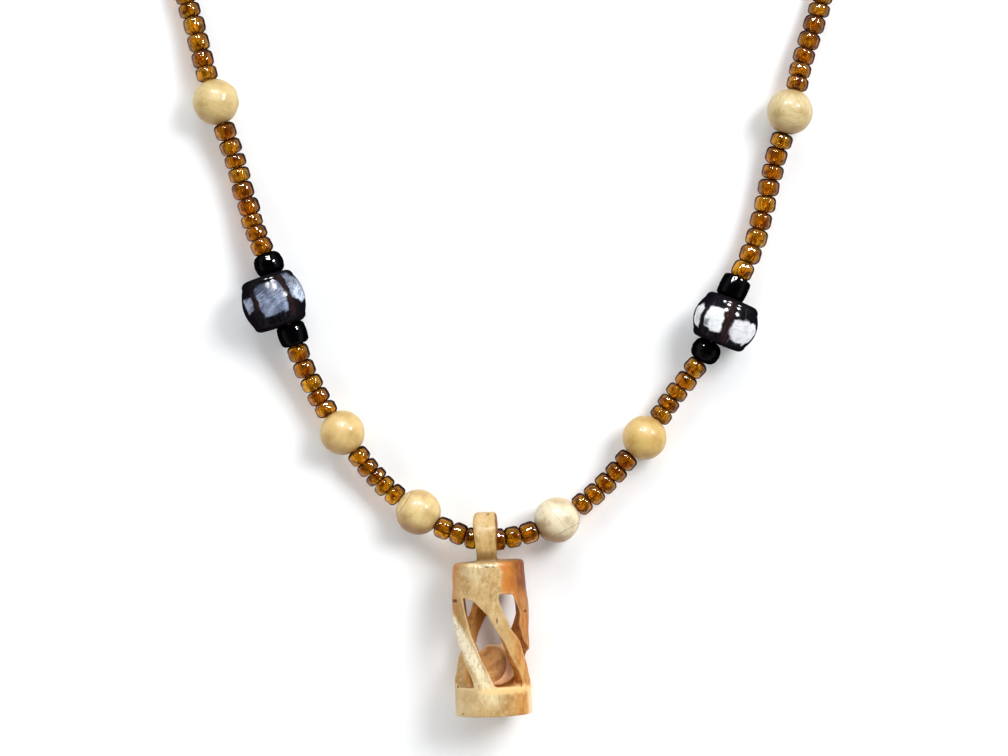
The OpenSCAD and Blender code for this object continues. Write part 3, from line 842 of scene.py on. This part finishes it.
# Twice, each point is drawn most of the way down the field's slope onto the true surface
gap = 0.02
for _ in range(2):
    here = cage_field(*points.T)
    pull = np.stack([(cage_field(*(points + gap * np.eye(3)[n]).T) - here) / gap for n in range(3)], axis=1)
    points = points - pull * (here / np.maximum((pull**2).sum(1), 0.2))[:, None] * 0.7
lying = Matrix.Rotation(LEAN, 4, "Z") @ Matrix.Rotation(-math.pi / 2, 4, "X")
lying = Matrix.Translation(Vector(FOOT) / 1000) @ lying
carved = Finish(
    "cage ivory", place=tuple(Vector(FOOT) / 1000), turn=(-math.pi / 2, 0, LEAN), Subsurface_Weight=0.12,
    Subsurface_Radius=(1.0, 0.6, 0.3), Subsurface_Scale=0.001, Specular_IOR_Level=0.1,
    Coat_Weight=0.08, Coat_Roughness=0.1,
)
x, y, z = carved.x, carved.y, carved.z
out = carved.node("Math", {"operation": "SQRT"}, [x * x + y * y])
round_turn = carved.node("Math", {"operation": "ARCTAN2"}, [x, -1 * y]) * math.degrees(1)
near = carved.stored("near_cut")
under = carved.stored("under_skin")
front = y.rise(1, -1)
right_half = round_turn.rise(178, 120)
off_axis = out.rise(1.5, 5)
grain = carved.noise(1.0, 5, 0.62, at=carved.at * (2.0, 2.0, 0.8))
fine = carved.noise(3.4, 3, 0.65)
broad = carved.noise(0.22, 3, 0.55)
cloudy = carved.noise(0.75, 3, 0.6)
flecks = carved.noise(2.0, 3, 0.65, at=carved.at * (1.5, 1.5, 0.7) + 9)
drawn = carved.noise(0.5, 4, 0.6, at=carved.at * (1.6, 1.6, 0.7))
carved.colour = carved.mix((broad + 0.5 * (grain - 0.5)).rise(0.36, 0.64), (206, 176, 122), (178, 140, 86))
carved.paint(0.55 * cloudy.rise(0.5, 0.72), (226, 200, 150))
carved.paint(0.5 * fine.rise(0.48, 0.76), (144, 102, 52))
carved.paint(0.36 * flecks.rise(0.5, 0.72), (240, 222, 178))

# Amber stain: dark on the right of the collar up to a wavy seam, paler on the right bars and base
seam_turn = 16 + 20 * (carved.noise(0.45, 4) - 0.5) + 0.9 * (27 - z)
collar = z.rise(18.5, 21.5) * z.rise(29, 27)
right = (round_turn - seam_turn + 6 * (fine - 0.5)).rise(-3, 7) * right_half * off_axis
stain = carved.mix((round_turn + 50 * (drawn - 0.5)).rise(24, 66), (202, 124, 46), (122, 56, 14))
stain = carved.mix(0.5 * (z + 2 * cloudy).rise(24.4, 22), stain, (200, 126, 58))
carved.paint(collar * right * 0.94, stain)
low_right = (round_turn + 30 * (drawn - 0.5)).rise(12, 54) * right_half * off_axis
stain = carved.mix(drawn.rise(0.4, 0.62), (212, 154, 74), (186, 114, 42))
carved.paint(0.85 * low_right * z.rise(20, 16), stain)
red = (round_turn + 24 * (drawn - 0.5)).rise(52, 70) * z.rise(3.5, 6) * z.rise(13, 10)
carved.paint(0.6 * red * flecks.rise(0.62, 0.45) * right_half, (172, 98, 38))
# Painted highlight: a golden line along bar AB's left edge, beside window A.
golden_highlight = abs(round_turn - (64 - 4.4 * z) + 12 * (drawn - 0.5)).rise(7, 2)
carved.paint(0.6 * golden_highlight * z.rise(4, 7) * z.rise(17, 13), (244, 204, 126))
brown_bar = round_turn.rise(40, 50) * z.rise(11, 14) * z.rise(22, 19) * right_half
stain = carved.mix(drawn.rise(0.4, 0.6), (186, 116, 42), (156, 86, 26))
carved.paint(0.85 * brown_bar, stain)
seam = abs(round_turn - seam_turn + 1).rise(3.4, 0.4) * collar * fine.rise(0.3, 0.5)
carved.paint(0.4 * seam * cloudy.rise(0.4, 0.6), (248, 216, 150))
# Partly the ivory's own orange-brown and partly painted shade: the collar's left side, turned from the light.
left_edge = (round_turn + 14 * (drawn - 0.5)).rise(-44, -78) * front
carved.paint(0.85 * left_edge * z.rise(13, 17) * z.rise(29, 27), (192, 122, 46))
left_bar = carved.spot(-6.1, 17.6, (0.7, 1.5), 3.4, x + 1.4 * (cloudy - 0.5), z) * front
carved.paint(0.6 * left_bar, (172, 124, 58))

# Pale places, partly worn and bleached ivory and, down bar ZA's ridge and on the bail's top, painted
# highlights: middle, half sizes, lean, strength and colour
for px, pz, sx, sz, lean_x, strength, hue in [
    (-5.3, 14.0, 0.5, 3.0, -0.5, 1.0, (254, 244, 216)), (-2.9, 9.0, 0.4, 2.4, -0.45, 0.85, (252, 240, 206)),
    (-0.9, 4.8, 1.0, 1.3, -0.3, 0.6, (246, 230, 186)), (-2.4, 25.6, 0.5, 1.0, 0, 0.5, (246, 226, 176)),
    (-4.8, 3.2, 1.0, 1.6, 0, 0.4, (236, 216, 168)), (1.6, 16.6, 0.4, 2.2, -0.5, 0.25, (240, 214, 160)),
    (-2.6, 25.9, 1.0, 0.5, 0, 0.3, (246, 232, 196)), (-0.6, 27.0, 1.3, 0.12, 0, 0.8, (250, 236, 200)),
    (-0.9, 34.4, 0.4, 1.0, 0, 0.35, (250, 238, 208)),
]:
    across, along = x + 0.9 * (cloudy - 0.5) - lean_x * (z - pz), z + 1.2 * (drawn - 0.5)
    pale_wear_and_highlight = strength * carved.spot(px, pz, (sx, sz), 3.2, across, along) * front
    carved.paint(pale_wear_and_highlight * (grain + 0.4 * (fine - 0.5)).rise(0.25, 0.6), hue)
bail = z.rise(28.5, 30)
carved.paint(0.4 * bail, (212, 176, 108))
carved.paint(0.5 * bail * (grain + 0.5 * (cloudy - 0.5)).rise(0.52, 0.68), (158, 122, 66))
# Painted shade: the bail's right edge is dark brown.
carved.paint(0.9 * bail * (x + 0.4 * (cloudy - 0.5)).rise(1.3, 1.7), (112, 62, 26))
pale_edge = (round_turn + 8 * (drawn - 0.5)).rise(56, 72) * round_turn.rise(140, 110)
carved.paint(0.85 * pale_edge * z.rise(6, 4) * out.rise(5, 6.3), (244, 216, 170))
bail_foot = (z + 1.5 * (cloudy - 0.5)).rise(30.2, 28.2) * z.rise(27.3, 27.9)
carved.paint(0.9 * bail_foot, (120, 86, 38))

# Pale lines along the windows, partly wear and partly painted highlight; painted shade, orange-brown, on the
# walls inside them; and painted shade in the cavity
window_part = z.rise(28, 25)
# Partly wear and partly painted highlight: thin pale lines along the windows' edges.
edge = near.rise(0.7, 0.1) * under.rise(0.3, 0.12) * window_part
carved.paint(0.2 * edge * (0.3 + 0.7 * grain.rise(0.35, 0.6)), (250, 230, 186))
# Painted shade: the windows' walls are orange-brown, except where a wall lies in the light.
wall = near.rise(0.4, 0.16) * under.rise(0.12, 0.34) * window_part
walls = carved.mix(cloudy.rise(0.35, 0.65), (146, 76, 20), (200, 128, 52))
lit_wall = x.rise(-3.6, -4.9) * z.rise(15, 12)
carved.paint(0.88 * wall * (1 - 0.85 * lit_wall), walls)
# Painted shade: the cavity is browner inside, darkest on its right and paler on its left wall, which faces
# the light.
inner = out.rise(5.3, 4.95) * z.rise(28, 24) * z.rise(3, 4)
carved.paint(0.8 * inner, carved.mix(x.rise(-2, -4), (176, 112, 40), (216, 172, 104)))
sill_top = z.rise(4.5, 4.9) * z.rise(5.9, 5.3) * near.rise(0.8, 0.3)
carved.paint(0.7 * sill_top * x.rise(-3.6, -2), (246, 190, 132))
# Painted light: a pale glow on the front of the sill.
across, along = x + 1.6 * (cloudy - 0.5), z + 1.6 * (cloudy - 0.5) + 0.8 * (fine - 0.5)
sill_glow = carved.spot(2.6, 4.6, (1.5, 0.2), 5, across, along) * front
carved.paint(0.7 * sill_glow, (250, 216, 150))

# Dark pits and nicks: middle and half sizes
spots = None
for px, pz, sx, sz in [
    (-6.18, 20.73, 0.26, 0.2), (1.19, 17.08, 0.08, 0.34), (6.25, 18.43, 0.16, 0.14),
    (-6.26, 5.34, 0.12, 0.12), (-5.54, 0.59, 0.06, 0.12), (3.0, 0.06, 0.07, 0.12),
    (-0.2, 26.74, 0.34, 0.07), (0.87, 26.7, 0.25, 0.07), (0.34, 35.9, 0.12, 0.1),
    (5.05, 5.3, 0.08, 0.2), (-1.0, 26.95, 0.3, 0.05),
]:
    spot = carved.spot(px, pz, (sx, sz), 1.9, x + 0.3 * (fine - 0.5), z + 0.3 * (grain - 0.5))
    spots = spot if spots is None else spots | spot
spots = spots * front * (out.rise(5.6, 6.1) | bail)
pits = carved.dots(0.8, 0.05, 0.12) * grain.rise(0.46, 0.56)
carved.paint(0.85 * (spots | (0.75 * pits)), (58, 30, 12))
relief = 0.7 * grain + 0.35 * fine + 0.5 * cloudy - 0.15 * (spots | pits)
carved.wear(0.32 + 0.3 * fine + 0.15 * inner + 0.3 * (spots | pits), relief, 0.00014)
cage = made_of("carved_cage", points / 1000, (), faces)
store(cage, "near_cut", np.clip(np.abs(window_distance(*points.T)), 0, 3))
store(cage, "under_skin", np.interp(points[:, 2], WALL_Z, WALL_R) - np.hypot(points[:, 0], points[:, 1]))
smooth(cage, carved)
cage.data.transform(lying)
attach(cage, "necklace")
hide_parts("cage")


# Loose ball. It was cut free inside the cage through the windows, so each window left a hollow in it,
# with soft ridges between. It can't come out, and slides and rolls from the sill to the collar.
BALL_R = 3.75
BALL_AT = (0.7, 0.6, 8.9)
HOLLOWS = [
    # turn from the front, rise, radius of the tool, distance of its middle
    (-32, 6, 6, 6.8), (100, 14, 5, 7.6), (170, -6, 5.6, 7.9), (-130, 10, 4.6, 7.4), (150, 66, 4.6, 7.5),
    (-160, -64, 4.6, 7.5),
]
bpy.ops.mesh.primitive_ico_sphere_add(subdivisions=7, radius=1)
ball = bpy.context.object
ball.name = ball.data.name = "loose_ball"
ways = np.zeros(len(ball.data.vertices) * 3)
ball.data.vertices.foreach_get("co", ways)
ways = ways.reshape(-1, 3)
ways /= np.linalg.norm(ways, axis=1)[:, None]
reach = np.full(len(ways), BALL_R)
for a, e, tool, far in HOLLOWS:
    a, e = math.radians(a), math.radians(e)
    centre = np.array([math.sin(a) * math.cos(e), -math.cos(a) * math.cos(e), math.sin(e)])
    along = ways @ centre * far
    depth = along**2 - far**2 + tool**2
    cut = np.where(depth > 0, along - np.sqrt(np.maximum(depth, 0)), 9)
    cut = np.where(along > 0, cut, 9)
    reach = -rounded_max(-reach, -cut, 0.22)
# The ball's skin stays a hundredth of a millimetre inside its solid
ball.data.vertices.foreach_set("co", (ways * (reach[:, None] - 0.01) / 1000).ravel())
ball.data.transform(lying @ Matrix.Translation(Vector(BALL_AT) / 1000))
store(ball, "dug", np.clip(BALL_R - reach, 0, 1))
kernel = Finish(
    "ball ivory", place=tuple(lying @ (Vector(BALL_AT) / 1000)), turn=(-math.pi / 2, 0, LEAN),
    Subsurface_Weight=0.15, Subsurface_Radius=(1.0, 0.6, 0.3), Subsurface_Scale=0.0012,
    Specular_IOR_Level=0.12, Coat_Weight=0.08, Coat_Roughness=0.12,
)
depth = kernel.stored("dug")
grain = kernel.noise(1.0, 4, 0.6, at=kernel.at * (1.2, 1.2, 2))
worn = (depth + 0.06 * (grain - 0.5)).rise(0.02, 0.1)
# Painted light: the ball's lower right is left pale and pink, as if lit, and the hollows' tan stops short of
# it.
worn = worn * (0.87 * kernel.x - 0.5 * kernel.z + 0.4 * (grain - 0.5)).rise(2.4, 2.1)
pink = (kernel.z - 0.6 * kernel.x).rise(0.5, -1.6)
kernel.colour = kernel.mix(worn, kernel.mix(pink, (248, 208, 162), (255, 222, 198)), (230, 178, 116))
veins = kernel.noise(0.5, 3, 0.55, at=kernel.at * (1, 1, 1.4))
kernel.paint(0.55 * veins.rise(0.42, 0.66) * worn, (158, 90, 30))
kernel.paint(0.5 * grain.rise(0.55, 0.75), (236, 196, 144))
shaded = (kernel.x - 0.5 * kernel.z + 1.6 * (grain - 0.5)).rise(-0.6, 2.2) * worn
kernel.paint(0.7 * shaded, (134, 62, 6))
kernel.wear(0.28 + 0.2 * grain, grain, 0.00008)
smooth(ball, kernel)
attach(ball, "ball")
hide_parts("cage_ball")


# Surface and light. The necklace lies on a plain white table under a bright tent: a soft light from the
# upper right, paler light from all sides, and small lamps that put the glints on glass and ivory.
table = made_of("table", [(-4, -4, 0), (4, -4, 0), (4, 4, 0), (-4, 4, 0)], (), [(0, 1, 2, 3)])
table.data.transform(Matrix.Translation((0, 0, -0.00003)))
white = Finish("white table", Roughness=0.9, Specular_IOR_Level=0.0)
white.shader.inputs["Base Color"].default_value = (0.94, 0.955, 0.97, 1)
white.shader.inputs["Emission Color"].default_value = (1, 1, 1, 1)
white.shader.inputs["Emission Strength"].default_value = 0.05
table.data.materials.append(white.material)

sky = bpy.data.worlds.new("tent")
bpy.context.scene.world = sky
sky.use_nodes = True
air = Net()
air.tree = sky.node_tree
way = air.node("TexCoord", output="Generated")
rise = air.node("SeparateXYZ", {}, [way], 2)
glow = air.node("ValToRGB", {"stops": [
    (0.0, (1, 1, 1, 1)), (0.35, (1, 1, 1, 1)), (0.7, (0.1, 0.1, 0.1, 1)), (1.0, (0.01, 0.01, 0.01, 1)),
]}, [rise])
sky.node_tree.links.new(glow.socket, sky.node_tree.nodes["Background"].inputs[0])
sky.node_tree.nodes["Background"].inputs[1].default_value = 0.22

LAMPS = [
    # name, place, size, watts, whether only gloss shows it
    ("roof", (0, 0.1, 1.3), 1.5, 1.7, False),
    ("key", (0.62, 0.4, 0.75), 0.5, 10.0, False),
    ("fill_top", (-0.1, 1.1, 0.75), 0.9, 7.8, False),
    ("fill_left", (-1.1, -0.1, 0.6), 0.9, 6.6, False),
    ("fill_front", (0.2, -1.2, 0.6), 0.9, 5.2, False),
    ("glint_top", (0.06, 0.6, 0.66), 0.19, 13.0, True),
    ("glint_top_left", (-0.26, 0.56, 0.6), 0.14, 6.5, True),
    ("glint_right", (0.66, 0.36, 0.62), 0.17, 10.0, True),
]
for name, place, size, watts, gloss_only in LAMPS:
    lamp = bpy.data.lights.new(name, "AREA")
    lamp.size = size
    lamp.energy = watts
    holder = bpy.data.objects.new(name, lamp)
    holder.location = place
    holder.rotation_euler = (Vector((0, -0.05, 0)) - Vector(place)).to_track_quat("-Z", "Y").to_euler()
    holder.visible_glossy = gloss_only
    holder.visible_diffuse = not gloss_only
    bpy.context.scene.collection.objects.link(holder)
bpy.context.scene.view_settings.view_transform = "Standard"
